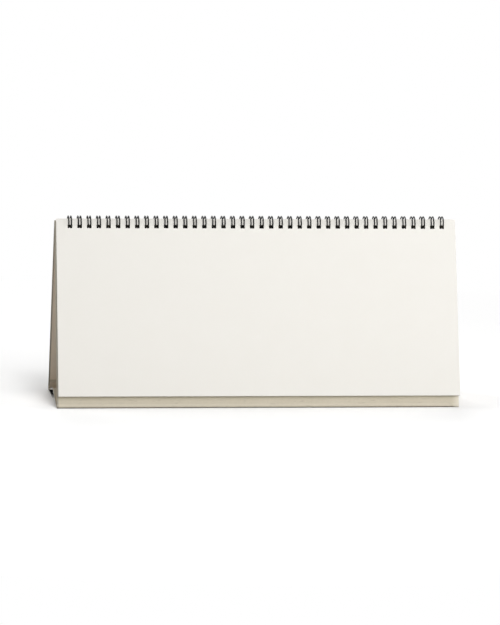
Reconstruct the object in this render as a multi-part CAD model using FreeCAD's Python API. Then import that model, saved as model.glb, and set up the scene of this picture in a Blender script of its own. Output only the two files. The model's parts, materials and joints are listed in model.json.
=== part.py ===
"""Desk calendar: a folded board stand, a pad of leaves and a double-loop wire binding.

Millimetres. The origin is the middle of the footprint on the table. +X runs to the
reader's right, the leaves face -Y and lean back, and +Z is up.
"""
import FreeCAD, Part
import math
import os

Vector = FreeCAD.Vector
X_AXIS = Vector(1, 0, 0)

# The sheets
SHEET_WIDTH = 354.5        # leaves and board are cut to the same width
PANEL_HEIGHT = 166.8       # slanted height of each standing panel of the board
BOTTOM_STRIP = 10.4        # board left bare below the leaves, along the slope
PAD_THICKNESS = 1.5        # thirteen leaves pressed together
PAD_SHIFT = 1.25           # the pad sits this much further right than the board
PAD_GAP = 0.3              # air between the pad and the panel that it leans on

# The folded board
BOARD = 1.1                # thickness
LEAN_DEG = 18.0            # how far each panel leans from upright
TOP_GAP = 0.5              # between the inner top edges of the two panels
RIDGE_HEIGHT = 9.4         # middle of the board above the table at the raised crease
FOLD_RADIUS = 0.3          # inside radius of every fold
FOOT_FLAT = 1.2            # width of the flat that each bottom fold stands on
TOP_EASE = 0.45            # rounding of the outer top edges, which the leaves pass over

# The wire binding
LOOP_DIAMETER = 12.7       # over the outside of a closed loop
WIRE = 1.1                 # diameter of the coated wire
PITCH = 25.4 / 3           # three holes to the inch
PAIR_SPACING = 2.33        # between the middles of the two wires of a loop
END_MARGIN = 12.0          # least distance from a leaf's side to the first loop
SPINE_BEND = 0.8           # radius of the wire's middle where a loop meets the spine
CLOSURE_GAP = 0.4          # air between the loop tips and the spine
PAD_CORNER_DEG = 33.1      # the pad's top front edge, seen from the loop's middle

# Clearances
CORNER_CLEARANCE = 0.22    # pad's top front edge to the inside of the loops
SWING_CLEARANCE = 0.12     # panel's eased top edge to the swinging pad
HOLE_CLEARANCE = 0.15      # wire to a hole's upper and lower side
SIDE_CLEARANCE = 0.335     # wire to a hole's left and right side
HOLE_CORNER = 0.4          # corner radius of a punched hole
HOLE_RISE = 0.35           # the holes in front start this much above the wire's way
SAME_PLACE = 1e-4          # two points nearer than this are one

LEAN = math.radians(LEAN_DEG)
loop_outside = LOOP_DIAMETER / 2
loop_middle = loop_outside - WIRE / 2
loop_inside = loop_outside - WIRE

# Distances from the loop's middle, square to the front panel and along it
pad_corner = loop_inside - CORNER_CLEARANCE
pad_front = pad_corner * math.cos(math.radians(PAD_CORNER_DEG))
pad_back = pad_front - PAD_THICKNESS
panel_front = pad_back - PAD_GAP
pad_top = pad_corner * math.sin(math.radians(PAD_CORNER_DEG))


def mirrored(point):
    """The same point on the other side of the upright plane through the raised crease."""
    return Vector(point.x, -point.y, point.z)


# The stand is symmetric about that plane
top_half_depth = BOARD * math.cos(LEAN) + TOP_GAP / 2
half_depth = PANEL_HEIGHT * math.sin(LEAN) + top_half_depth
up_the_panel = Vector(0, math.sin(LEAN), math.cos(LEAN))
out_of_the_panel = Vector(0, -math.cos(LEAN), math.sin(LEAN))
front_top = Vector(0, -top_half_depth, PANEL_HEIGHT * math.cos(LEAN))
front_rounding = front_top - (up_the_panel + out_of_the_panel) * TOP_EASE


def highest_panel_top(rounding):
    """Panel's height over the loop's middle at which the pad just swings past an edge."""
    reach = pad_back - SWING_CLEARANCE - TOP_EASE
    across = front_top - out_of_the_panel * panel_front - rounding
    along = across.dot(up_the_panel)
    return along + math.sqrt(reach ** 2 - across.Length ** 2 + along ** 2)


panel_top = min(highest_panel_top(front_rounding), highest_panel_top(mirrored(front_rounding)))
loop_axis = front_top - up_the_panel * panel_top - out_of_the_panel * panel_front

# The back panel is drawn as a front panel and mirrored, so the loop's middle is too
back_panel_top = (front_top - mirrored(loop_axis)).dot(up_the_panel)
back_panel_front = (front_top - mirrored(loop_axis)).dot(out_of_the_panel)

# The leaves turn over the loops until the pad's top back edge meets the back panel
pad_top_back = math.hypot(pad_back, pad_top)
free_turn = 180 - 2 * LEAN_DEG - math.degrees(
    math.atan2(pad_top, pad_back) - math.acos((back_panel_front + SWING_CLEARANCE) / pad_top_back))

pad_centre_x = PAD_SHIFT / 2
stand_centre_x = -PAD_SHIFT / 2
loop_count = int((SHEET_WIDTH - 2 * END_MARGIN) / PITCH) + 1
loop_xs = [pad_centre_x + PITCH * (i - (loop_count - 1) / 2) for i in range(loop_count)]


def left_of(direction):
    """Unit normal on the left of a direction in the YZ plane."""
    return Vector(0, -direction.z, direction.y)


def offset_side(points, offset, bend):
    """Edges of a bent line's parallel, with every corner rounded about one centre."""
    edges = []
    first = (points[1] - points[0]).normalize()
    start = points[0] + left_of(first) * offset
    for before, corner, after in zip(points, points[1:], points[2:]):
        coming = (corner - before).normalize()
        going = (after - corner).normalize()
        turn = math.copysign(1, coming.cross(going).x)
        reach = bend * math.tan(coming.getAngle(going) / 2)
        centre = corner - coming * reach + left_of(coming) * bend * turn
        arc_start = corner - coming * reach + left_of(coming) * offset
        arc_end = corner + going * reach + left_of(going) * offset
        radius = bend - turn * offset
        middle = centre + (corner - centre).normalize() * radius
        edges.append(Part.makeLine(start, arc_start))
        edges.append(Part.Arc(arc_start, middle, arc_end).toShape())
        start = arc_end
    edges.append(Part.makeLine(start, points[-1] + left_of(going) * offset))
    return edges


def board_section():
    """Closed outline of the folded board, seen along its width."""
    half = BOARD / 2
    bend = FOLD_RADIUS + half
    # Where the middle lines of the panel and of the foot's flat would meet
    corner_in = half * math.tan(LEAN) + half / math.cos(LEAN)
    front_corner = Vector(0, corner_in - half_depth, half)
    foot_turn = math.radians(90 + LEAN_DEG)
    foot_end = front_corner + Vector(0, FOOT_FLAT + bend * math.tan(foot_turn / 2), 0)
    ridge = Vector(0, 0, RIDGE_HEIGHT)
    top = front_top - out_of_the_panel * half
    front = [top, front_corner, foot_end]
    back = [mirrored(point) for point in reversed(front)]
    path = front + [ridge] + back
    left = offset_side(path, half, bend)
    right = offset_side(path, -half, bend)
    caps = [Part.makeLine(left[i].Vertexes[j].Point, right[i].Vertexes[j].Point)
            for i, j in ((0, 0), (-1, -1))]
    return Part.Wire(Part.sortEdges(left + right + caps)[0])


def hole_outline(centre_x, low, high):
    """Rounded rectangle in the XY plane, as wide as a pair of wires and its clearance."""
    half_width = (PAIR_SPACING + WIRE) / 2 + SIDE_CLEARANCE
    left = centre_x - half_width
    right = centre_x + half_width
    r = HOLE_CORNER
    sides = [((left + r, low), (right - r, low)), ((right, low + r), (right, high - r)),
             ((right - r, high), (left + r, high)), ((left, high - r), (left, low + r))]
    diagonal = r * (1 - math.sqrt(0.5))
    corners = [(right - diagonal, low + diagonal), (right - diagonal, high - diagonal),
               (left + diagonal, high - diagonal), (left + diagonal, low + diagonal)]
    edges = []
    for i, (start, end) in enumerate(sides):
        next_start = sides[(i + 1) % 4][0]
        edges.append(Part.makeLine(Vector(*start, 0), Vector(*end, 0)))
        edges.append(Part.Arc(Vector(*end, 0), Vector(*corners[i], 0),
                              Vector(*next_start, 0)).toShape())
    return Part.Wire(edges)


def wire_passage(near_face, far_face):
    """Nearest and farthest reach, below the loop's middle, of the wire inside a sheet."""
    nearest = math.sqrt(loop_inside ** 2 - far_face ** 2) - HOLE_CLEARANCE
    farthest = math.sqrt(loop_outside ** 2 - near_face ** 2) + HOLE_CLEARANCE
    return nearest, farthest


def sheet_placement(top_front):
    """Puts a sheet drawn in the XY plane, top edge on X, against the front slope."""
    return FreeCAD.Placement(top_front, FreeCAD.Rotation(X_AXIS, 90 - LEAN_DEG))


def page_block():
    """All the leaves as one block, with a row of holes along the top."""
    height = PANEL_HEIGHT - panel_top + pad_top - BOTTOM_STRIP
    left = pad_centre_x - SHEET_WIDTH / 2
    outline = Part.makePolygon([Vector(left, 0, 0), Vector(left + SHEET_WIDTH, 0, 0),
                                Vector(left + SHEET_WIDTH, -height, 0),
                                Vector(left, -height, 0), Vector(left, 0, 0)])
    nearest, farthest = wire_passage(pad_back, pad_front)
    holes = [hole_outline(x, -pad_top - farthest, HOLE_RISE - pad_top - nearest) for x in loop_xs]
    block = Part.Face([outline] + holes).extrude(Vector(0, 0, PAD_THICKNESS))
    back_top = front_top + up_the_panel * (pad_top - panel_top) + out_of_the_panel * PAD_GAP
    block.Placement = sheet_placement(back_top)
    return block


def panel_holes(hole_top, hole_height):
    """Hole cutters for the front panel, which run past both of its faces.

    The holes' top is a distance down from the panel's top edge.
    """
    holes = [Part.Face(hole_outline(x, -hole_top - hole_height, -hole_top)) for x in loop_xs]
    cutters = Part.Compound([hole.extrude(Vector(0, 0, 3 * BOARD)) for hole in holes])
    cutters.translate(Vector(0, 0, -2 * BOARD))
    cutters.Placement = sheet_placement(front_top).multiply(cutters.Placement)
    return cutters


def stand():
    """One board folded into two leaning panels and a base with a raised crease."""
    board = Part.Face(board_section()).extrude(Vector(SHEET_WIDTH, 0, 0))
    board.translate(Vector(stand_centre_x - SHEET_WIDTH / 2, 0, 0))
    eased = [edge for edge in board.Edges
             if all(min(vertex.Point.distanceToLine(corner, X_AXIS)
                        for corner in (front_top, mirrored(front_top))) < SAME_PLACE
                    for vertex in edge.Vertexes)]
    board = board.makeFillet(TOP_EASE, eased)

    # One die punches both panels, each panel where the wire goes through it
    front_reach = wire_passage(max(panel_front - BOARD, 0), panel_front)
    back_reach = wire_passage(max(back_panel_front - BOARD, 0), back_panel_front)
    front_hole_top = panel_top + wire_passage(pad_back, pad_front)[0] - HOLE_RISE
    back_hole_top = back_panel_top + back_reach[0]
    hole_height = panel_top + front_reach[1] - front_hole_top
    print("board holes", round(hole_height, 3), "high, from each panel's top edge",
          round(front_hole_top, 3), round(back_hole_top, 3))
    front_cutters = panel_holes(front_hole_top, hole_height)
    back_cutters = panel_holes(back_hole_top, hole_height)
    return board.cut([front_cutters, back_cutters.mirror(Vector(0, 0, 0), Vector(0, 1, 0))])


def on_loop(angle, x=0.0):
    """Point on a loop's middle line, with the angle in degrees from +Y towards +Z."""
    a = math.radians(angle)
    return loop_axis + Vector(x, loop_middle * math.cos(a), loop_middle * math.sin(a))


def outward(angle):
    a = math.radians(angle)
    return Vector(0, math.cos(a), math.sin(a))


def closure_angles():
    """Angles where the loops leave the spine and where their tips end, inside the tent."""
    depth = loop_middle * math.sin(LEAN)
    front_room = (panel_front - BOARD + depth) / math.cos(LEAN)
    back_room = (back_panel_front - BOARD + depth) / math.cos(LEAN)
    middle = (back_room - front_room) / 2
    apart = (WIRE + CLOSURE_GAP) / 2
    spine_side = math.degrees(math.asin((middle + apart + SPINE_BEND) / loop_middle))
    tip_side = math.degrees(math.asin((apart - middle + PAIR_SPACING / 2) / loop_middle))
    return 270 + spine_side, 630 - tip_side


def loop_path(x):
    """Middle line of one double loop, with half of the spine's run on each side."""
    spine_angle, tip_angle = closure_angles()
    half_pair = PAIR_SPACING / 2
    off_ring = left_of(outward(spine_angle)) * -SPINE_BEND
    left, right = [], []
    for side, edges in ((-1, left), (1, right)):
        leg = x + side * half_pair
        bend_centre = on_loop(spine_angle, leg + side * SPINE_BEND)
        bend_start = bend_centre + off_ring
        bend_middle = bend_centre + (off_ring - X_AXIS * side * SPINE_BEND) * math.sqrt(0.5)
        run_end = bend_start + X_AXIS * side * (PITCH / 2 - half_pair - SPINE_BEND)
        ring_start = on_loop(spine_angle, leg)
        ring_middle = on_loop((spine_angle + tip_angle) / 2, leg)
        edges.append(Part.makeLine(run_end, bend_start))
        edges.append(Part.Arc(bend_start, bend_middle, ring_start).toShape())
        edges.append(Part.Arc(ring_start, ring_middle, on_loop(tip_angle, leg)).toShape())
    tip_middle = on_loop(tip_angle, x) + left_of(outward(tip_angle)) * half_pair
    tip = Part.Arc(on_loop(tip_angle, x - half_pair), tip_middle, on_loop(tip_angle, x + half_pair))
    return left + [tip.toShape()] + right[::-1]


def wire_binding():
    """The whole row of loops, bent from one wire."""
    path = Part.Wire([edge for x in loop_xs for edge in loop_path(x)])
    end = path.OrderedVertexes[0].Point
    section = Part.Wire(Part.makeCircle(WIRE / 2, end, X_AXIS))
    return path.makePipeShell([section], True, False)


def save(name, shape):
    solids = shape.Solids
    print(name, "solids", len(solids), "valid", shape.isValid(), "volume", round(shape.Volume, 1))
    whole = solids[0] if len(solids) == 1 else shape
    whole.exportStep("parts/" + name + ".step")


os.makedirs("parts", exist_ok=True)
save("stand", stand())
save("page_block", page_block())
save("wire_binding", wire_binding())
print("loops", loop_count, "loop axis y z", round(loop_axis.y, 3), round(loop_axis.z, 3))
print("pad top above panel", round(pad_top - panel_top, 3), "half depth", round(half_depth, 3))
print("leaves turn freely through", round(free_turn, 1), "degrees")
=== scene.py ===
# %% [markdown]
# # A desk calendar
#
# A wide flip calendar has three pieces: a stand folded from one board, a pad of blank
# leaves that lies on its front slope, and one long wire, bent into forty double loops,
# that ties both together along the top. The construction comes packed from CAD as a
# fixed frame, in metres, with +Z up and the leaves facing -Y. This lesson gives each
# piece its finish, and replaces the leaves and the wire with finer meshes.

# %% Load the frame
import math

import bpy
from mathutils import Matrix, Vector
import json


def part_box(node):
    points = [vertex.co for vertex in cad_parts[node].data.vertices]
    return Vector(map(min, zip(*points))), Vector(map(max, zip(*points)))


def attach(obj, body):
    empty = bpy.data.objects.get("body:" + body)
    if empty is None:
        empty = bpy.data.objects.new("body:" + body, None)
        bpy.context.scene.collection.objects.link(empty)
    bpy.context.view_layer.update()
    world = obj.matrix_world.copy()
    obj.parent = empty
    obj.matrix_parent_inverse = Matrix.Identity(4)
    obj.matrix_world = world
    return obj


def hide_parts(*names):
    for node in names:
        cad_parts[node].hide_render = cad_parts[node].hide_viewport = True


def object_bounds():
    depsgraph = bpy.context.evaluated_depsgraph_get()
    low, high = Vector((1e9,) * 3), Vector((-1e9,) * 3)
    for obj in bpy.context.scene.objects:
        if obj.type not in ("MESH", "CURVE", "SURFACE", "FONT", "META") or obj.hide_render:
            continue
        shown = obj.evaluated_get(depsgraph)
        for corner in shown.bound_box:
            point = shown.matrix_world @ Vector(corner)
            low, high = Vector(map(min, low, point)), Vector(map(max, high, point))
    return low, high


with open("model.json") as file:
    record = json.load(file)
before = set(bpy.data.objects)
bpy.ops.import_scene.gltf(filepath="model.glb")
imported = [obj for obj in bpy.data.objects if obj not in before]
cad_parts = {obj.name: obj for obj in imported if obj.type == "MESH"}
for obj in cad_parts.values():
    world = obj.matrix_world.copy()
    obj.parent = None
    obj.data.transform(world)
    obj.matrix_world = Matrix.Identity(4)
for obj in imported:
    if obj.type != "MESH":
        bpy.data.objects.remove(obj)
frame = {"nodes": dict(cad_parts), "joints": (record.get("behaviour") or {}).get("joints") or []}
cad_low, cad_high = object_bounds()

# %% [markdown]
# ## Read the leaves' slope and the loops' middle
#
# Places could be typed in by hand, but they would be wrong as soon as the CAD model
# changed, so nothing is placed by eye. The front face of the pad runs from its lowest,
# foremost edge to its highest one, and those two edges give the slope. The loops turn
# about the axis of the hinge that lets the leaves turn over, so the hinge gives their
# middle.

# %% Measure the slope
MM = 0.001
pad_corners = [vertex.co for vertex in frame["nodes"]["page_block"].data.vertices]
pad_top_edge = max(pad_corners, key=lambda corner: corner.z)
pad_foot_edge = min(pad_corners, key=lambda corner: corner.y)
slope = Vector((0, pad_top_edge.y - pad_foot_edge.y, pad_top_edge.z - pad_foot_edge.z))
leaf_height = slope.length
up_the_slope = slope.normalized()
out_of_the_slope = Vector((0, -up_the_slope.z, up_the_slope.y))
lean = math.atan2(up_the_slope.y, up_the_slope.z)

pad_low, pad_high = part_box("page_block")
leaf_width = pad_high.x - pad_low.x
loops_middle = Vector(frame["joints"][0]["pos_m"])
loops_middle.x = (pad_low.x + pad_high.x) / 2
print("lean", round(math.degrees(lean), 2), "leaf", round(leaf_width / MM, 2), round(leaf_height / MM, 2))

# %% [markdown]
# ## Measure the loops and the punched holes
#
# The wire's thickness and the pitch of the holes are the maker's own sizes. The wire's
# box then gives the number of loops and their radius. The pad's corners that lie a
# little below its top edge are the corners of its holes, and they give the holes'
# place and height. A hole is narrower than half the pitch, so the corners nearest to
# the left end belong to the first hole, and give its width.

# %% Measure the loops and the holes
PITCH = 25.4 / 3 * MM
WIRE = 1.1 * MM
wire_low, wire_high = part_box("wire_binding")
loop_count = round((wire_high.x - wire_low.x) / PITCH)
loop_radius = wire_high.z - loops_middle.z - WIRE / 2

HOLES_FROM = 1 * MM
HOLES_TO = 20 * MM
below_top = [((pad_top_edge - corner).dot(up_the_slope), corner.x) for corner in pad_corners]
hole_corners = [(reach, x) for reach, x in below_top if HOLES_FROM < reach < HOLES_TO]
hole_top, hole_foot = min(hole_corners)[0], max(hole_corners)[0]
first_hole = min(x for reach, x in hole_corners)
hole_width = max(x for reach, x in hole_corners if x < first_hole + PITCH / 2) - first_hole
print("loops", loop_count, "radius", round(loop_radius / MM, 3), "holes", round(hole_width / MM, 2), "wide")
print("holes from", round(hole_top / MM, 2), "to", round(hole_foot / MM, 2), "below the leaves' top edge")

# %% [markdown]
# ## A short way to write node trees
#
# Geometry and materials are both built from nodes. In the editor a node is added, its
# settings are chosen and its sockets are wired. `add` does the same in one call: plain
# settings go on the node, and each entry of `inputs` is either a value for a socket or
# another node's output to wire to it. Sockets are named, or numbered where a node has
# several of the same name, as Math does.


# %% Node helpers
def add(tree, kind, inputs=None, **settings):
    """Adds a node to a tree, with its settings, its values and its wires."""
    node = tree.nodes.new(kind)
    for setting, value in settings.items():
        setattr(node, setting, value)
    for socket, value in (inputs or {}).items():
        if isinstance(value, bpy.types.NodeSocket):
            tree.links.new(value, node.inputs[socket])
        else:
            node.inputs[socket].default_value = value
    return node


def maths(tree, operation, *values):
    """One Math node; the values are numbers or outputs, in the node's own order."""
    return add(tree, "ShaderNodeMath", dict(enumerate(values)), operation=operation).outputs[0]


def point(tree, x=0.0, y=0.0, z=0.0):
    """Three numbers or outputs joined into one vector."""
    return add(tree, "ShaderNodeCombineXYZ", {"X": x, "Y": y, "Z": z}).outputs[0]


def split(tree, vector):
    """The three numbers of one vector."""
    return add(tree, "ShaderNodeSeparateXYZ", {"Vector": vector}).outputs


print("node helpers ready")

# %% [markdown]
# ## From a geometry tree to a plain mesh
#
# Geometry Nodes suit what repeats, such as leaves and loops. Each tree gets one named
# input for each of its sizes, so a size can be changed without touching the tree. It
# ends in real geometry with a material, because copies that are only instances would
# be lost outside Blender. The tree then runs once on an empty object, and its result
# is kept as a plain mesh, without the modifier.

# %% Geometry helpers
SOCKET_KINDS = {float: "NodeSocketFloat", int: "NodeSocketInt", Vector: "NodeSocketVector",
                bpy.types.Material: "NodeSocketMaterial"}


def geometry_tree(name, sizes):
    """An empty geometry tree with one named input for each size, and its input node."""
    tree = bpy.data.node_groups.new(name, "GeometryNodeTree")
    tree.interface.new_socket("Geometry", in_out="OUTPUT", socket_type="NodeSocketGeometry")
    for label, value in sizes.items():
        tree.interface.new_socket(label, in_out="INPUT", socket_type=SOCKET_KINDS[type(value)])
    return tree, tree.nodes.new("NodeGroupInput").outputs


def finish_tree(tree, geometry, material):
    """Ends a tree as every tree here ends: real geometry with its material set."""
    real = add(tree, "GeometryNodeRealizeInstances", {"Geometry": geometry})
    painted = add(tree, "GeometryNodeSetMaterial", {"Geometry": real.outputs[0], "Material": material})
    add(tree, "NodeGroupOutput", {"Geometry": painted.outputs[0]})


def grow(name, tree, sizes):
    """Runs a geometry tree on an empty object and keeps the result as a plain mesh."""
    piece = bpy.data.objects.new(name, bpy.data.meshes.new(name))
    bpy.context.scene.collection.objects.link(piece)
    modifier = piece.modifiers.new(tree.name, "NODES")
    modifier.node_group = tree
    for item in tree.interface.items_tree:
        if item.in_out == "INPUT":
            modifier[item.identifier] = sizes[item.name]
    graph = bpy.context.evaluated_depsgraph_get()
    mesh = bpy.data.meshes.new_from_object(
        piece.evaluated_get(graph), preserve_all_data_layers=True, depsgraph=graph)
    piece.modifiers.remove(modifier)
    piece.data = mesh
    mesh.name = name
    print(name, "has", len(mesh.vertices), "points and", len(mesh.polygons), "faces")
    return piece


print("geometry helpers ready")

# %% [markdown]
# ## Start a material
#
# Every finish here is the same shader, with a roughness and a gloss that are the same
# all over, and with a colour and a bump that follow small patterns. The patterns could
# be images, but an image has one size and its own light in it. Noise is sharp at any
# distance. It is read from object coordinates, in metres, so a scale of 1000 means one
# wave a millimetre, and it stays on the piece when the piece moves.


# %% Material helpers
def shader_tree(name, roughness, specular):
    """A new material: its tree, its shader and the piece's own coordinates."""
    material = bpy.data.materials.new(name)
    material.use_nodes = True
    tree = material.node_tree
    shader = tree.nodes["Principled BSDF"]
    shader.inputs["Roughness"].default_value = roughness
    shader.inputs["Specular IOR Level"].default_value = specular
    place = tree.nodes.new("ShaderNodeTexCoord").outputs["Object"]
    return material, tree, shader, place


def noise(tree, place, scale, detail=2.0, stretch=(1, 1, 1)):
    """Soft noise with so many waves to the metre, stretched along an axis if wanted."""
    shaped = add(tree, "ShaderNodeMapping", {"Vector": place, "Scale": stretch})
    return add(tree, "ShaderNodeTexNoise", {"Vector": shaped.outputs[0], "Scale": scale,
                                            "Detail": detail}).outputs["Fac"]


def between(tree, value, low, high, new_low=0.0, new_high=1.0):
    """Maps one range of a value to another, and holds it at the ends."""
    return add(tree, "ShaderNodeMapRange", {"Value": value, "From Min": low, "From Max": high,
                                            "To Min": new_low, "To Max": new_high}).outputs[0]


def band(tree, value, start, full_from, full_to, end):
    """A soft band: 0 up to the start, 1 where it is full, and 0 again from the end on."""
    return maths(tree, "MINIMUM", between(tree, value, start, full_from), between(tree, value, end, full_to))


def blend_colours(tree, share, first, second):
    """Mixes two colours, each given as red, green and blue or as an output."""
    mix = add(tree, "ShaderNodeMix", {"Factor": share}, data_type="RGBA")
    for socket, colour in ((mix.inputs[6], first), (mix.inputs[7], second)):
        if isinstance(colour, bpy.types.NodeSocket):
            tree.links.new(colour, socket)
        else:
            socket.default_value = (*colour, 1)
    return mix.outputs[2]


def raise_surface(tree, shader, height, distance, strength=1.0):
    """Turns a pattern into fine relief, so many metres high."""
    bump = add(tree, "ShaderNodeBump", {"Height": height, "Distance": distance,
                                        "Strength": strength})
    tree.links.new(bump.outputs["Normal"], shader.inputs["Normal"])


print("material helpers ready")

# %% [markdown]
# ## Paper for the leaves
#
# The leaves are uncoated, warm white paper. From a reading distance such paper is
# nearly even, and strong patterns would turn it into card or cloth. So its character
# is in small things: faint clouds where the fibres lie thicker, a fine tooth that
# softens the light, and almost no gloss.

# %% Paper
CLOUDS = 0.35, 0.65
THIN_PAPER = (0.89, 0.868, 0.816)
THICK_PAPER = (0.895, 0.874, 0.824)
PAPER_SPECKLE = (0.86, 0.835, 0.775)


def paper():
    material, tree, shader, place = shader_tree("warm_white_paper", roughness=0.85, specular=0.25)
    clouds = noise(tree, place, scale=55, detail=3)
    fibres = noise(tree, place, scale=1900, detail=2, stretch=(1.0, 0.35, 1.0))
    sheet = blend_colours(tree, between(tree, clouds, *CLOUDS), THIN_PAPER, THICK_PAPER)
    speckled = blend_colours(tree, between(tree, fibres, 0.3, 0.7, 0.0, 0.35), sheet, PAPER_SPECKLE)
    tree.links.new(speckled, shader.inputs["Base Color"])
    raise_surface(tree, shader, fibres, distance=0.03 * MM, strength=0.5)
    return material


leaf_paper = paper()
print("made", leaf_paper.name)

# %% [markdown]
# ## The board's two sides
#
# The stand is one sheet of grey-beige board. Its face has short fibres pressed flat, a
# few of them darker. Its inner side is painted paler, as painted light for the inside of
# the stand, and painted shade darkens it towards the loops, where the two panels close.
# The two sides could be two materials on picked faces, but the shape tells them apart by
# itself: on the inner side of either panel the surface faces the middle plane, so its
# direction and its place along Y have opposite signs.

# %% Board's two sides
BOARD_TONES = (0.61, 0.553, 0.434), (0.64, 0.58, 0.46)
SHORT_FIBRE = (0.52, 0.468, 0.375)
DARK_FIBRE = (0.4, 0.35, 0.27)
# Painted light on the inner side, and painted shade on it under the loops
PAINTED_LIGHT_INNER_SIDE = (0.9, 0.8, 0.67)
PAINTED_SHADE_UNDER_LOOPS = (0.2, 0.178, 0.148)
SHADE_STARTS = 18 * MM
SHADE_IS_FULL = 6 * MM


def fibred_face(tree, place):
    """The board's face, and the pattern of its short fibres."""
    clouds = noise(tree, place, scale=38, detail=3)
    short_fibres = noise(tree, place, scale=900, detail=3, stretch=(0.45, 1.0, 1.0))
    dark_fibres = noise(tree, place, scale=420, detail=1, stretch=(0.3, 1.0, 1.6))
    face = blend_colours(tree, between(tree, clouds, *CLOUDS), *BOARD_TONES)
    face = blend_colours(tree, between(tree, short_fibres, 0.35, 0.7, 0.0, 0.3), face, SHORT_FIBRE)
    face = blend_colours(tree, between(tree, dark_fibres, 0.66, 0.74, 0.0, 0.35), face, DARK_FIBRE)
    return face, short_fibres


def with_painted_inner_light_and_shade(tree, face, along, height, facing):
    """Adds the inner side, painted paler as painted light, and painted shade under the loops."""
    inside = between(tree, maths(tree, "MULTIPLY", facing, along), 0.0, -0.1 * MM)
    shade_under_loops = between(tree, height, loops_middle.z - SHADE_STARTS, loops_middle.z - SHADE_IS_FULL)
    painted_inner_face = blend_colours(tree, shade_under_loops, PAINTED_LIGHT_INNER_SIDE, PAINTED_SHADE_UNDER_LOOPS)
    return blend_colours(tree, inside, face, painted_inner_face)


print("board shaded from", round((loops_middle.z - SHADE_STARTS) / MM, 1), "mm up")

# %% [markdown]
# ## Painted shade and light on the board
#
# Painted shade darkens the narrow margin beside the leaves, most of all near the foot,
# where the leaves shade the board, and a soft painted shadow of the leaves' edges lies
# below them. The board's right end is painted paler, as painted light that reaches in
# under the leaves from the right. These marks could be drawn by hand on a texture, but
# they follow the edges of the leaves and the board, so they are measured from them. The
# first two are only on the front's outer face, which is where the surface faces -Y.

# %% Painted shade and light
stand_low, stand_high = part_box("stand")
# Painted shade on the margin beside the leaves, deepest near the foot
MARGIN = 1.35 * MM
MARGIN_STARTS = stand_low.x + MARGIN + 0.25 * MM
MARGIN_IS_FULL = stand_low.x + MARGIN - 0.35 * MM
MARGIN_SHADE_TOP, MARGIN_SHADE_FOOT = 150 * MM, 10 * MM
MARGIN_SHADE_SHARES = 0.68, 0.85
PAINTED_MARGIN_SHADE = (0.285, 0.27, 0.23)

leaves_foot = pad_foot_edge.z
# Painted shadow of the leaves' foot on the board below them
LEAF_SHADOW_BAND = [leaves_foot - drop * MM for drop in (4.4, 2.0, 1.6, 0.6)]
LEAF_SHADOW_LEFT, LEAF_SHADOW_RIGHT = -150 * MM, 170 * MM
LEAF_SHADOW_SHARES = 0.42, 0.22
PAINTED_LEAF_SHADOW = (0.27, 0.245, 0.165)

# Painted light on the right end, where light from the right reaches under the leaves
LIT_END_LENGTH = 6 * MM
LIT_END_SHARE = 0.8
PAINTED_LIGHT_AT_END = (0.82, 0.77, 0.66)
TURNED_TO_THE_FRONT = -0.8, -0.9


def with_painted_front_shade(tree, face, across, height, facing):
    """Paints shade on the margin beside the leaves and a shadow line below them, on the front only."""
    in_front = between(tree, facing, *TURNED_TO_THE_FRONT)
    margin = between(tree, across, MARGIN_STARTS, MARGIN_IS_FULL)
    margin_shade = between(tree, height, MARGIN_SHADE_TOP, MARGIN_SHADE_FOOT, *MARGIN_SHADE_SHARES)
    share = maths(tree, "MULTIPLY", margin, maths(tree, "MULTIPLY", margin_shade, in_front))
    face = blend_colours(tree, share, face, PAINTED_MARGIN_SHADE)
    leaf_shadow = maths(tree, "MULTIPLY", band(tree, height, *LEAF_SHADOW_BAND),
                   between(tree, across, LEAF_SHADOW_LEFT, LEAF_SHADOW_RIGHT, *LEAF_SHADOW_SHARES))
    return blend_colours(tree, maths(tree, "MULTIPLY", leaf_shadow, in_front), face, PAINTED_LEAF_SHADOW)


def with_painted_lit_end(tree, face, across):
    """Paints light on the last millimetres at the right end, making them paler."""
    end = between(tree, across, stand_high.x - LIT_END_LENGTH, stand_high.x, 0.0, LIT_END_SHARE)
    return blend_colours(tree, end, face, PAINTED_LIGHT_AT_END)


print("soiled line around", round(sum(LEAF_SHADOW_BAND) / len(LEAF_SHADOW_BAND) / MM, 1), "mm up")

# %% [markdown]
# ## Folds and cut sides
#
# Over the folds at the foot a painted highlight makes the face paler, and painted shade
# darkens the folds themselves. At the two sides, where the sheet was cut, the pulp inside
# shows. It is greyer and less even than the face, and a painted highlight makes it paler
# at the base's raised crease. None of this needs a shape of its own: height and
# direction are enough to say where each tone belongs.

# %% Folds and cut sides
# Painted highlight above the bottom folds
FOLD_HIGHLIGHT_BAND = [height * MM for height in (2.0, 2.15, 3.4, 4.0)]
FOLD_HIGHLIGHT_SHARE = 0.3
PAINTED_FOLD_HIGHLIGHT = (0.8, 0.74, 0.62)
# Painted shade in the bottom folds, where the board meets the floor
FOLD_SHADE_TOP, FOLD_SHADE_IS_FULL = 1.05 * MM, 0.75 * MM
FOLD_SHADE_SHARE = 0.9
PAINTED_FOLD_SHADE = (0.15, 0.138, 0.122)
UPRIGHT = 0.25, 0.4

PULP_TONES = (0.44, 0.41, 0.34), (0.54, 0.5, 0.42)
# Painted highlight on the pulp at the base's raised crease
PAINTED_CREASE_HIGHLIGHT = (0.9, 0.88, 0.83)
CREASE_TOP, CREASE_IS_FULL = 10.6 * MM, 10.2 * MM
CREASE_REACH, CREASE_CORE = 30 * MM, 12 * MM
SIDEWAYS = 0.6, 0.9


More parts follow.
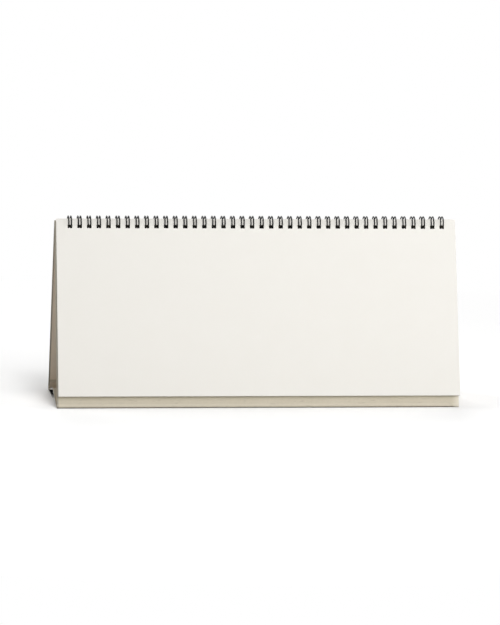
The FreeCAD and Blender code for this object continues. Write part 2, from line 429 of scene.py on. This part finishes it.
def with_folds(tree, face, height, facing):
    """Adds a painted highlight above the bottom folds and painted shade in them."""
    upright = between(tree, maths(tree, "ABSOLUTE", facing), *UPRIGHT)
    fold_highlight = maths(tree, "MULTIPLY", band(tree, height, *FOLD_HIGHLIGHT_BAND), FOLD_HIGHLIGHT_SHARE)
    face = blend_colours(tree, maths(tree, "MULTIPLY", fold_highlight, upright), face, PAINTED_FOLD_HIGHLIGHT)
    shaded_fold = between(tree, height, FOLD_SHADE_TOP, FOLD_SHADE_IS_FULL, 0.0, FOLD_SHADE_SHARE)
    return blend_colours(tree, maths(tree, "MULTIPLY", shaded_fold, upright), face, PAINTED_FOLD_SHADE)


def with_cut_sides(tree, face, place, along, height, sideways):
    """Shows the pulp at both cut sides, with a painted highlight on it at the base's crease."""
    cut_side = between(tree, maths(tree, "ABSOLUTE", sideways), *SIDEWAYS)
    pulp = blend_colours(tree, noise(tree, place, scale=700), *PULP_TONES)
    beside_crease = between(tree, maths(tree, "ABSOLUTE", along), CREASE_REACH, CREASE_CORE)
    at_crease = maths(tree, "MINIMUM", between(tree, height, CREASE_TOP, CREASE_IS_FULL), beside_crease)
    pulp = blend_colours(tree, at_crease, pulp, PAINTED_CREASE_HIGHLIGHT)
    return blend_colours(tree, cut_side, face, pulp)


print("fold_shade up to", round(FOLD_SHADE_TOP / MM, 2), "mm, paler pulp up to", round(CREASE_TOP / MM, 2), "mm")

# %% [markdown]
# ## Board for the stand
#
# The board's colour is built up in layers: first the sheet with its two sides, then the
# painted shade and light on its front, its right end and its folds, and last the cut,
# which shows the pulp whatever lies on the face. Only the short fibres are also felt, as
# a fine relief.


# %% Board
def board():
    material, tree, shader, place = shader_tree("grey_beige_board", roughness=0.9, specular=0.2)
    across, along, height = split(tree, place)
    normal = tree.nodes.new("ShaderNodeTexCoord").outputs["Normal"]
    sideways, facing, _ = split(tree, normal)

    face, short_fibres = fibred_face(tree, place)
    face = with_painted_inner_light_and_shade(tree, face, along, height, facing)
    face = with_painted_front_shade(tree, face, across, height, facing)
    face = with_folds(tree, face, height, facing)
    face = with_painted_lit_end(tree, face, across)
    face = with_cut_sides(tree, face, place, along, height, sideways)
    tree.links.new(face, shader.inputs["Base Color"])
    raise_surface(tree, shader, short_fibres, distance=0.05 * MM, strength=0.6)
    return material


stand_board = board()
print("made", stand_board.name)

# %% [markdown]
# ## Coated wire
#
# The binding is steel wire in a thin black nylon coat. The coat is smooth and slightly
# wavy, so a pale studio draws a soft grey line along every bend. A metal shader would
# colour that line and lose the black between the bends. The coat is a plastic, so it
# stays nearly black, with a low gloss and very shallow waves.

# %% Wire coat
COAT_TONES = (0.003, 0.003, 0.0035), (0.006, 0.006, 0.006)


def coated_wire():
    material, tree, shader, place = shader_tree("black_coated_wire", roughness=0.28, specular=0.14)
    waves = noise(tree, place, scale=600, detail=2)
    tree.links.new(blend_colours(tree, waves, *COAT_TONES), shader.inputs["Base Color"])
    raise_surface(tree, shader, waves, distance=0.03 * MM, strength=0.5)
    return material


wire_coat = coated_wire()
print("made", wire_coat.name)

# %% [markdown]
# ## Fold the stand
#
# The stand's shape is right as it comes from CAD, with its folds, its raised crease
# and its punched holes, so drawing it again would only risk mistakes. Its mesh is
# loose triangles, though, which shade as flats on the small bends. A copy is merged,
# and its bends are smoothed up to the sharp cut edges. The wide flat faces keep flat
# shading, so that no bend's shading runs across them. The copy stands for the CAD
# node, which stays in place for the physics.

# %% The stand
SHARP_EDGE = math.radians(40)
SAME_POINT = 0.002 * MM
WIDE_FACE = 500 * MM ** 2
SAME_FACING = math.cos(math.radians(0.8))


def merged_copy(node, name):
    """An object with a copy of a CAD node's mesh, whose loose triangles are merged."""
    mesh = frame["nodes"][node].data.copy()
    mesh.name = name
    piece = bpy.data.objects.new(name, mesh)
    bpy.context.scene.collection.objects.link(piece)
    bpy.context.view_layer.objects.active = piece
    for other in bpy.context.selected_objects:
        other.select_set(False)
    piece.select_set(True)
    bpy.ops.object.mode_set(mode="EDIT")
    bpy.ops.mesh.select_all(action="SELECT")
    bpy.ops.mesh.remove_doubles(threshold=SAME_POINT)
    bpy.ops.object.mode_set(mode="OBJECT")
    return piece


def smooth_bends(mesh):
    """Shades the bends smoothly, up to the sharp edges, and leaves wide faces flat."""
    bpy.ops.object.shade_smooth()
    mesh.set_sharp_from_angle(angle=SHARP_EDGE)
    wide = [face.normal.copy() for face in mesh.polygons if face.area > WIDE_FACE]
    for face in mesh.polygons:
        face.use_smooth = max(face.normal.dot(facing) for facing in wide) < SAME_FACING


folded_stand = merged_copy("stand", "folded_stand")
smooth_bends(folded_stand.data)
folded_stand.data.materials.clear()
folded_stand.data.materials.append(stand_board)
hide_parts("stand")
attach(folded_stand, "stand")
bends = [face for face in folded_stand.data.polygons if face.use_smooth]
print("stand", len(folded_stand.data.polygons), "faces,", len(bends), "of them in bends")

# %% [markdown]
# ## Punch one leaf
#
# A leaf is a rectangle with a row of punched holes. Cutting forty holes out of a mesh
# with booleans is slow and leaves untidy faces. A press does it in one stroke, and so
# does this tree: it draws the outline and the row of rounded holes as curves, fills
# between them, and gives the sheet its thickness.

# %% One leaf
CORNER_STEPS = 3


def hole_row(tree, given):
    """The outlines of all the holes of one leaf."""
    hole = add(tree, "GeometryNodeCurvePrimitiveQuadrilateral",
               {"Width": given["Hole width"], "Height": given["Hole height"]})
    rounded = add(tree, "GeometryNodeFilletCurve", {"Curve": hole.outputs[0], "Count": CORNER_STEPS,
                                                    "Radius": given["Hole corner"]}, mode="POLY")
    span = maths(tree, "MULTIPLY", given["Pitch"], maths(tree, "SUBTRACT", given["Holes"], 1))
    first = point(tree, maths(tree, "MULTIPLY", span, -0.5), maths(tree, "MULTIPLY", given["Hole line"], -1))
    row = add(tree, "GeometryNodeMeshLine", {"Count": given["Holes"], "Start Location": first,
                                             "Offset": point(tree, given["Pitch"])})
    holes = add(tree, "GeometryNodeInstanceOnPoints",
                {"Points": row.outputs[0], "Instance": rounded.outputs[0]})
    return add(tree, "GeometryNodeRealizeInstances", {"Geometry": holes.outputs[0]}).outputs[0]


def join(tree, first, second):
    """Two geometries as one."""
    joined = add(tree, "GeometryNodeJoinGeometry")
    tree.links.new(first, joined.inputs[0])
    tree.links.new(second, joined.inputs[0])
    return joined.outputs[0]


def punched_leaf(tree, given):
    """One leaf, hung from its top edge, with both faces and all its edges."""
    outline = add(tree, "GeometryNodeCurvePrimitiveQuadrilateral",
                  {"Width": given["Width"], "Height": given["Height"]})
    half_down = point(tree, y=maths(tree, "MULTIPLY", given["Height"], -0.5))
    hung = add(tree, "GeometryNodeTransform", {"Geometry": outline.outputs[0], "Translation": half_down})
    lines = join(tree, hung.outputs[0], hole_row(tree, given))
    face = add(tree, "GeometryNodeFillCurve", {"Curve": lines}, mode="TRIANGLES")
    front = add(tree, "GeometryNodeExtrudeMesh", {"Mesh": face.outputs[0], "Offset": point(tree, z=1.0),
                                                  "Offset Scale": given["Leaf"], "Individual": False})
    back = add(tree, "GeometryNodeFlipFaces", {"Mesh": face.outputs[0]})
    sides = join(tree, front.outputs[0], back.outputs[0])
    return add(tree, "GeometryNodeMergeByDistance", {"Geometry": sides, "Distance": SAME_POINT}).outputs[0]


print("leaf helpers ready")

# %% [markdown]
# ## Stack the leaves
#
# Thirteen leaves lie on the slope. One thick block would show no paper edges at the
# pad's side. Real leaves in a pad are never quite square either: every leaf hangs a few
# hundredths of a millimetre to one side, which a seeded random shift does here. The
# tree's last step lays the pad on the slope.

# %% The leaves
PAD_THICKNESS = 1.5 * MM
LEAF_COUNT = 13
LEAF = 0.1 * MM
SLACK = 0.05 * MM


def leaves_tree(sizes):
    tree, given = geometry_tree("punched_leaves", sizes)
    stack = add(tree, "GeometryNodeMeshLine",
                {"Count": given["Leaves"], "Offset": point(tree, z=given["Spacing"])})
    pile = add(tree, "GeometryNodeInstanceOnPoints",
               {"Points": stack.outputs[0], "Instance": punched_leaf(tree, given)})
    slack = point(tree, given["Slack"], given["Slack"])
    other_way = add(tree, "ShaderNodeVectorMath", {0: slack, "Scale": -1.0}, operation="SCALE").outputs[0]
    shift = add(tree, "FunctionNodeRandomValue",
                {"Min": other_way, "Max": slack, "Seed": given["Seed"]}, data_type="FLOAT_VECTOR")
    uneven = add(tree, "GeometryNodeTranslateInstances",
                 {"Instances": pile.outputs[0], "Translation": shift.outputs["Value"]})
    laid = add(tree, "GeometryNodeTransform", {"Geometry": uneven.outputs[0], "Translation": given["Place"],
                                               "Rotation": point(tree, given["Tilt"])})
    finish_tree(tree, laid.outputs[0], given["Material"])
    return tree


pad_back_top = pad_top_edge - out_of_the_slope * PAD_THICKNESS
pad_back_top.x = loops_middle.x
leaf_sizes = {
    "Width": leaf_width - 2 * SLACK,
    "Height": leaf_height - SLACK,
    "Leaf": LEAF,
    "Leaves": LEAF_COUNT,
    "Spacing": (PAD_THICKNESS - LEAF) / (LEAF_COUNT - 1),
    "Hole width": hole_width,
    "Hole height": hole_foot - hole_top,
    "Hole corner": 0.4 * MM,
    "Hole line": (hole_top + hole_foot) / 2,
    "Holes": loop_count,
    "Pitch": PITCH,
    "Slack": SLACK,
    "Seed": 7,
    "Tilt": math.pi / 2 - lean,
    "Place": pad_back_top,
    "Material": leaf_paper,
}
leaves = grow("leaves", leaves_tree(leaf_sizes), leaf_sizes)
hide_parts("page_block")
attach(leaves, "pages")

# %% [markdown]
# ## Draw the flat comb
#
# The binding is one wire. It could be forty separate rings, but then nothing would
# join them, and the pairs would lose the round tips that show what they are. On the
# machine the wire is first bent flat into a comb: along the spine, up one leg of a
# prong, round its tip and down the other leg, forty times over. The tree starts in
# the same way, with one flat prong of six corners. They are numbered from 0 to 5, so
# the distance of a corner's number from 2.5 says whether it is at a tip, at the
# spine or at an end.

# %% One prong
PRONG_CORNERS = 6
BEND_STEPS = 8


def comb_line(tree, given):
    """One prong as a flat line of six corners, each rounded as the wire bends there."""
    index = tree.nodes.new("GeometryNodeInputIndex").outputs[0]
    from_middle = maths(tree, "SUBTRACT", index, (PRONG_CORNERS - 1) / 2)
    is_end = maths(tree, "GREATER_THAN", maths(tree, "ABSOLUTE", from_middle), 2)
    is_tip = maths(tree, "LESS_THAN", maths(tree, "ABSOLUTE", from_middle), 1)
    half_pair = maths(tree, "MULTIPLY", given["Pair spacing"], 0.5)
    half_pitch = maths(tree, "MULTIPLY", given["Pitch"], 0.5)
    from_leg = maths(tree, "MULTIPLY", maths(tree, "SUBTRACT", half_pitch, half_pair), is_end)
    x = maths(tree, "MULTIPLY", maths(tree, "SIGN", from_middle), maths(tree, "ADD", half_pair, from_leg))
    y = maths(tree, "MULTIPLY", is_tip, given["Prong"])
    corners = add(tree, "GeometryNodeMeshLine", {"Count": PRONG_CORNERS})
    placed = add(tree, "GeometryNodeSetPosition",
                 {"Geometry": corners.outputs[0], "Position": point(tree, x, y)})
    line = add(tree, "GeometryNodeMeshToCurve", {"Mesh": placed.outputs[0]})
    at_tip = maths(tree, "MULTIPLY", half_pair, is_tip)
    at_spine = maths(tree, "MULTIPLY", given["Spine bend"], maths(tree, "SUBTRACT", 1, is_tip))
    rounded = add(tree, "GeometryNodeFilletCurve",
                  {"Curve": line.outputs[0], "Radius": maths(tree, "ADD", at_tip, at_spine),
                   "Limit Radius": True, "Count": BEND_STEPS}, mode="POLY")
    return rounded.outputs[0]


print("prong helper ready")

# %% [markdown]
# ## Roll the comb
#
# The flat comb is then rolled round, until the tips meet the spine. In the tree,
# rolling is a change of coordinates: the distance along a prong, divided by the loop's
# radius, is the angle about the loops' middle. The loops lean a little, as rolled ones
# do: their front legs to the right and their back legs to the left, each by its own
# amount, which smooth noise gives from the loop's number.

# %% Rolled comb
LEAST_LEAN = 0.65
MORE_LEAN = 0.5


def rolled(tree, given, geometry):
    """Rolls the flat comb about the X axis, and leans its loops."""
    flat = split(tree, tree.nodes.new("GeometryNodeInputPosition").outputs[0])
    turned = maths(tree, "ADD", maths(tree, "DIVIDE", flat["Y"], given["Radius"]), given["Start angle"])
    y = maths(tree, "MULTIPLY", maths(tree, "COSINE", turned), given["Radius"])
    z = maths(tree, "MULTIPLY", maths(tree, "SINE", turned), given["Radius"])
    loop_number = maths(tree, "DIVIDE", flat["X"], given["Pitch"])
    uneven = add(tree, "ShaderNodeTexNoise", {"W": loop_number, "Scale": 1.0, "Detail": 0.0},
                 noise_dimensions="1D").outputs["Fac"]
    lean_share = maths(tree, "MULTIPLY_ADD", uneven, MORE_LEAN, LEAST_LEAN)
    own_lean = maths(tree, "MULTIPLY", given["Lean"], lean_share)
    forwards = maths(tree, "MULTIPLY", maths(tree, "COSINE", turned), -1)
    x = maths(tree, "ADD", flat["X"], maths(tree, "MULTIPLY", own_lean, forwards))
    bent = add(tree, "GeometryNodeSetPosition", {"Geometry": geometry, "Position": point(tree, x, y, z)})
    return add(tree, "GeometryNodeTransform",
               {"Geometry": bent.outputs[0], "Translation": given["Place"]}).outputs[0]


print("rolling helper ready")

# %% [markdown]
# ## Bend the whole wire
#
# The whole tree repeats the prong at the pitch of the holes, welds the runs into one
# line, rolls that line and gives it a round section. The line is cut into even short
# steps before it is rolled, or the loops would come out as polygons. The prongs start
# just behind the foot of the circle and go nearly once round, which leaves the small
# gap where the machine closed the loops.

# %% The wire
SPINE_ANGLE = math.radians(271.6)
TIP_ANGLE = math.radians(615.9)
WIRE_SIDES = 10


def wire_tree(sizes):
    tree, given = geometry_tree("bent_wire", sizes)
    span = maths(tree, "MULTIPLY", given["Pitch"], maths(tree, "SUBTRACT", given["Loops"], 1))
    first = point(tree, maths(tree, "MULTIPLY", span, -0.5))
    row = add(tree, "GeometryNodeMeshLine", {"Count": given["Loops"], "Start Location": first,
                                             "Offset": point(tree, given["Pitch"])})
    comb = add(tree, "GeometryNodeInstanceOnPoints",
               {"Points": row.outputs[0], "Instance": comb_line(tree, given)})
    real = add(tree, "GeometryNodeRealizeInstances", {"Geometry": comb.outputs[0]})
    edges = add(tree, "GeometryNodeCurveToMesh", {"Curve": real.outputs[0]})
    welded = add(tree, "GeometryNodeMergeByDistance", {"Geometry": edges.outputs[0], "Distance": SAME_POINT})
    one_line = add(tree, "GeometryNodeMeshToCurve", {"Mesh": welded.outputs[0]})
    even = add(tree, "GeometryNodeResampleCurve",
               {"Curve": one_line.outputs[0], "Length": given["Step"]}, mode="LENGTH")
    section = add(tree, "GeometryNodeCurvePrimitiveCircle",
                  {"Resolution": WIRE_SIDES, "Radius": maths(tree, "MULTIPLY", given["Wire"], 0.5)})
    tube = add(tree, "GeometryNodeCurveToMesh", {"Curve": rolled(tree, given, even.outputs[0]),
                                                 "Profile Curve": section.outputs[0], "Fill Caps": True})
    smooth = add(tree, "GeometryNodeSetShadeSmooth", {"Geometry": tube.outputs[0]})
    finish_tree(tree, smooth.outputs[0], given["Material"])
    return tree


wire_sizes = {
    "Loops": loop_count,
    "Pitch": PITCH,
    "Pair spacing": 2.33 * MM,
    "Prong": (TIP_ANGLE - SPINE_ANGLE) * loop_radius,
    "Spine bend": 0.8 * MM,
    "Radius": loop_radius,
    "Start angle": SPINE_ANGLE,
    "Lean": 0.26 * MM,
    "Wire": WIRE,
    "Step": 0.4 * MM,
    "Place": loops_middle,
    "Material": wire_coat,
}
wire_loops = grow("wire_loops", wire_tree(wire_sizes), wire_sizes)
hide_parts("wire_binding")
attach(wire_loops, "stand")

# %% [markdown]
# ## White floor and backdrop
#
# The calendar stands in a white studio. A real studio lights its paper sweep until it
# turns white, but so much light would also wash out the calendar's own colours. Here
# the floor and the world are white to the camera and in reflections, and what they
# give back as light is less. Near the calendar the floor still takes its shadow, a
# little lightened, and further out it fades into plain white. Only the hollow under
# the rear half of the stand is darkened: almost no light reaches it, and these soft
# lamps alone would leave it too pale.

# %% Floor material
PLAIN_FROM = 0.45
PLAIN_AT = 0.8
FLOOR_LIFT = 0.05
FLOOR_IN_BOUNCES = 0.8
UNDER_THE_STAND = 0.05
HOLLOW_STARTS, HOLLOW_IS_DEEP = 0.0, 26 * MM
SIDE_SOFTNESS = 1 * MM
REAR_SOFTNESS = 2 * MM


def seen_rays(tree):
    """1 for what the camera sees, directly or in a gloss or a glass, and 0 for bounced light."""
    rays = tree.nodes.new("ShaderNodeLightPath").outputs
    mirrored = maths(tree, "MAXIMUM", rays["Is Glossy Ray"], rays["Is Transmission Ray"])
    return maths(tree, "MAXIMUM", rays["Is Camera Ray"], mirrored)


def open_floor(tree, place):
    """0 in the hollow under the rear half of the stand, and 1 outside it."""
    across, along, _ = split(tree, place)
    left = between(tree, across, stand_low.x + SIDE_SOFTNESS, stand_low.x)
    right = between(tree, across, stand_high.x - SIDE_SOFTNESS, stand_high.x)
    front = between(tree, along, HOLLOW_IS_DEEP, HOLLOW_STARTS)
    rear = between(tree, along, stand_high.y - REAR_SOFTNESS, stand_high.y)
    beside = maths(tree, "MAXIMUM", left, right)
    return maths(tree, "MAXIMUM", beside, maths(tree, "MAXIMUM", front, rear))


def white_floor():
    """White paper under studio light: its shadows show near the object, and fade out further on."""
    material = bpy.data.materials.new("white_floor")
    material.use_nodes = True
    tree = material.node_tree
    place = tree.nodes.new("ShaderNodeTexCoord").outputs["Object"]
    seen = seen_rays(tree)
    lit = maths(tree, "MAXIMUM", open_floor(tree, place), maths(tree, "SUBTRACT", 1, seen))
    bright = between(tree, lit, 0.0, 1.0, UNDER_THE_STAND, 1.0)

    paper_white = tree.nodes["Principled BSDF"]
    tone = maths(tree, "MULTIPLY", between(tree, seen, 0.0, 1.0, FLOOR_IN_BOUNCES, 1.0), bright)
    tree.links.new(point(tree, tone, tone, tone), paper_white.inputs["Base Color"])
    paper_white.inputs["Roughness"].default_value = 1.0
    paper_white.inputs["Specular IOR Level"].default_value = 0.0
    glow = maths(tree, "MULTIPLY", maths(tree, "MULTIPLY", seen, FLOOR_LIFT), bright)
    lifted = add(tree, "ShaderNodeEmission", {"Strength": glow})
    near = add(tree, "ShaderNodeAddShader", {0: paper_white.outputs[0], 1: lifted.outputs[0]})

    distance = add(tree, "ShaderNodeVectorMath", {0: place}, operation="LENGTH").outputs["Value"]
    plain = maths(tree, "MULTIPLY", between(tree, distance, PLAIN_FROM, PLAIN_AT), seen)
    far = tree.nodes.new("ShaderNodeEmission")
    floor = add(tree, "ShaderNodeMixShader", {0: plain, 1: near.outputs[0], 2: far.outputs[0]})
    tree.links.new(floor.outputs[0], tree.nodes["Material Output"].inputs["Surface"])
    return material


floor_paper = white_floor()
print("made", floor_paper.name)

# %% [markdown]
# ## Lay the floor and light the backdrop
#
# The floor is one large square at the height of the calendar's feet, so the stand
# rests on it without a gap. It is part of the stage, not of the calendar. The world
# behind it is white where it is seen, and lights the calendar with a small share of
# that, because the lamps give the light its direction.

# %% Floor and world
FLOOR_REACH = 6.0
WORLD_FILL = 0.03


def studio_floor(material):
    corners = [(x * FLOOR_REACH, y * FLOOR_REACH, cad_low.z) for x, y in ((-1, -1), (1, -1), (1, 1), (-1, 1))]
    mesh = bpy.data.meshes.new("studio_floor")
    mesh.from_pydata(corners, [], [(0, 1, 2, 3)])
    mesh.materials.append(material)
    floor = bpy.data.objects.new("studio_floor", mesh)
    bpy.context.scene.collection.objects.link(floor)


def studio_world():
    """A white backdrop that lights the object with only a share of its own brightness."""
    world = bpy.data.worlds.new("white_studio")
    world.use_nodes = True
    tree = world.node_tree
    backdrop = tree.nodes["Background"]
    backdrop.inputs["Color"].default_value = (1, 1, 1, 1)
    strength = between(tree, seen_rays(tree), 0.0, 1.0, WORLD_FILL, 1.0)
    tree.links.new(strength, backdrop.inputs["Strength"])
    bpy.context.scene.world = world


studio_floor(floor_paper)
studio_world()
print("floor at", round(cad_low.z / MM, 3), "mm")

# %% [markdown]
# ## Six soft lamps
#
# A studio lights paper evenly from all round, with round soft lamps. One large lamp
# would be simpler, but it leaves the far side and the inside of the stand too dark.
# Three lamps stand in front, at rising heights, and the one straight in front is
# narrower, so that the leaves' foot casts a thin, clear shadow on the strip of board.
# A strong low lamp at the right makes the leaves paler towards that side. Two lamps
# behind brighten the top of the loops and the floor.

# %% Lamps
LAMP_DISTANCE = 2.0


def aim(thing, place, target, roll=0.0):
    """Stands a lamp or the camera at a place, turned to a target."""
    turn = (target - place).to_track_quat("-Z", "Y").to_matrix().to_4x4()
    thing.matrix_world = Matrix.Translation(place) @ turn @ Matrix.Rotation(roll, 4, "Z")


def towards(azimuth, elevation):
    """Direction from the object, with azimuth 0 in front and positive to the right."""
    return Vector((math.sin(azimuth) * math.cos(elevation), -math.cos(azimuth) * math.cos(elevation),
                   math.sin(elevation)))


def soft_lamp(name, azimuth, elevation, size, power):
    """A round lamp, so many metres across and watts strong, aimed at the calendar's middle."""
    lamp = bpy.data.lights.new(name, "AREA")
    lamp.shape = "DISK"
    lamp.size = size
    lamp.energy = power
    placed = bpy.data.objects.new(name, lamp)
    bpy.context.scene.collection.objects.link(placed)
    middle = (cad_low + cad_high) / 2
    direction = towards(math.radians(azimuth), math.radians(elevation))
    aim(placed, middle + direction * LAMP_DISTANCE, middle)


LAMPS = {
    "key_lamp": {"azimuth": 10, "elevation": 35, "size": 0.9, "power": 12.7},
    "front_lamp": {"azimuth": 0, "elevation": 50, "size": 0.4, "power": 9.4},
    "high_lamp": {"azimuth": 20, "elevation": 65, "size": 0.9, "power": 7.5},
    "right_lamp": {"azimuth": 80, "elevation": 10, "size": 0.9, "power": 18.4},
    "back_lamp": {"azimuth": 180, "elevation": 45, "size": 0.9, "power": 13.8},
    "left_back_lamp": {"azimuth": -120, "elevation": 45, "size": 0.9, "power": 9.5},
}
for name, settings in LAMPS.items():
    soft_lamp(name, **settings)
print(len(LAMPS), "lamps,", round(sum(settings["power"] for settings in LAMPS.values()), 1), "W in all")

# %% [markdown]
# ## Camera
#
# A short lens close by would spread the ends of so wide a piece. A long lens from far
# away keeps the pad's edges nearly parallel. The camera stands a little to the left
# and above, so that the inside of the stand shows at its left end, and it is rolled by
# one degree. The colours are shown as they are, without a film look.

# %% Camera
CAMERA_DISTANCE = 3.6
CAMERA_SIDE = math.radians(-7.165)
CAMERA_RISE = math.radians(8.161)
CAMERA_ROLL = math.radians(0.9945)
CAMERA_TARGET = Vector((-3.56, 0, 76.87)) * MM
CAMERA_LENS = 234.28

camera = bpy.data.objects.new("camera", bpy.data.cameras.new("camera"))
camera.data.sensor_width = 36
camera.data.lens = CAMERA_LENS
camera.data.clip_end = 20
bpy.context.scene.collection.objects.link(camera)
aim(camera, CAMERA_TARGET + towards(CAMERA_SIDE, CAMERA_RISE) * CAMERA_DISTANCE, CAMERA_TARGET, CAMERA_ROLL)
bpy.context.scene.camera = camera
bpy.context.scene.view_settings.view_transform = "Standard"
print("camera at", [round(c, 3) for c in camera.matrix_world.translation])

# %% [markdown]
# ## Finish

# %% Finish
import json
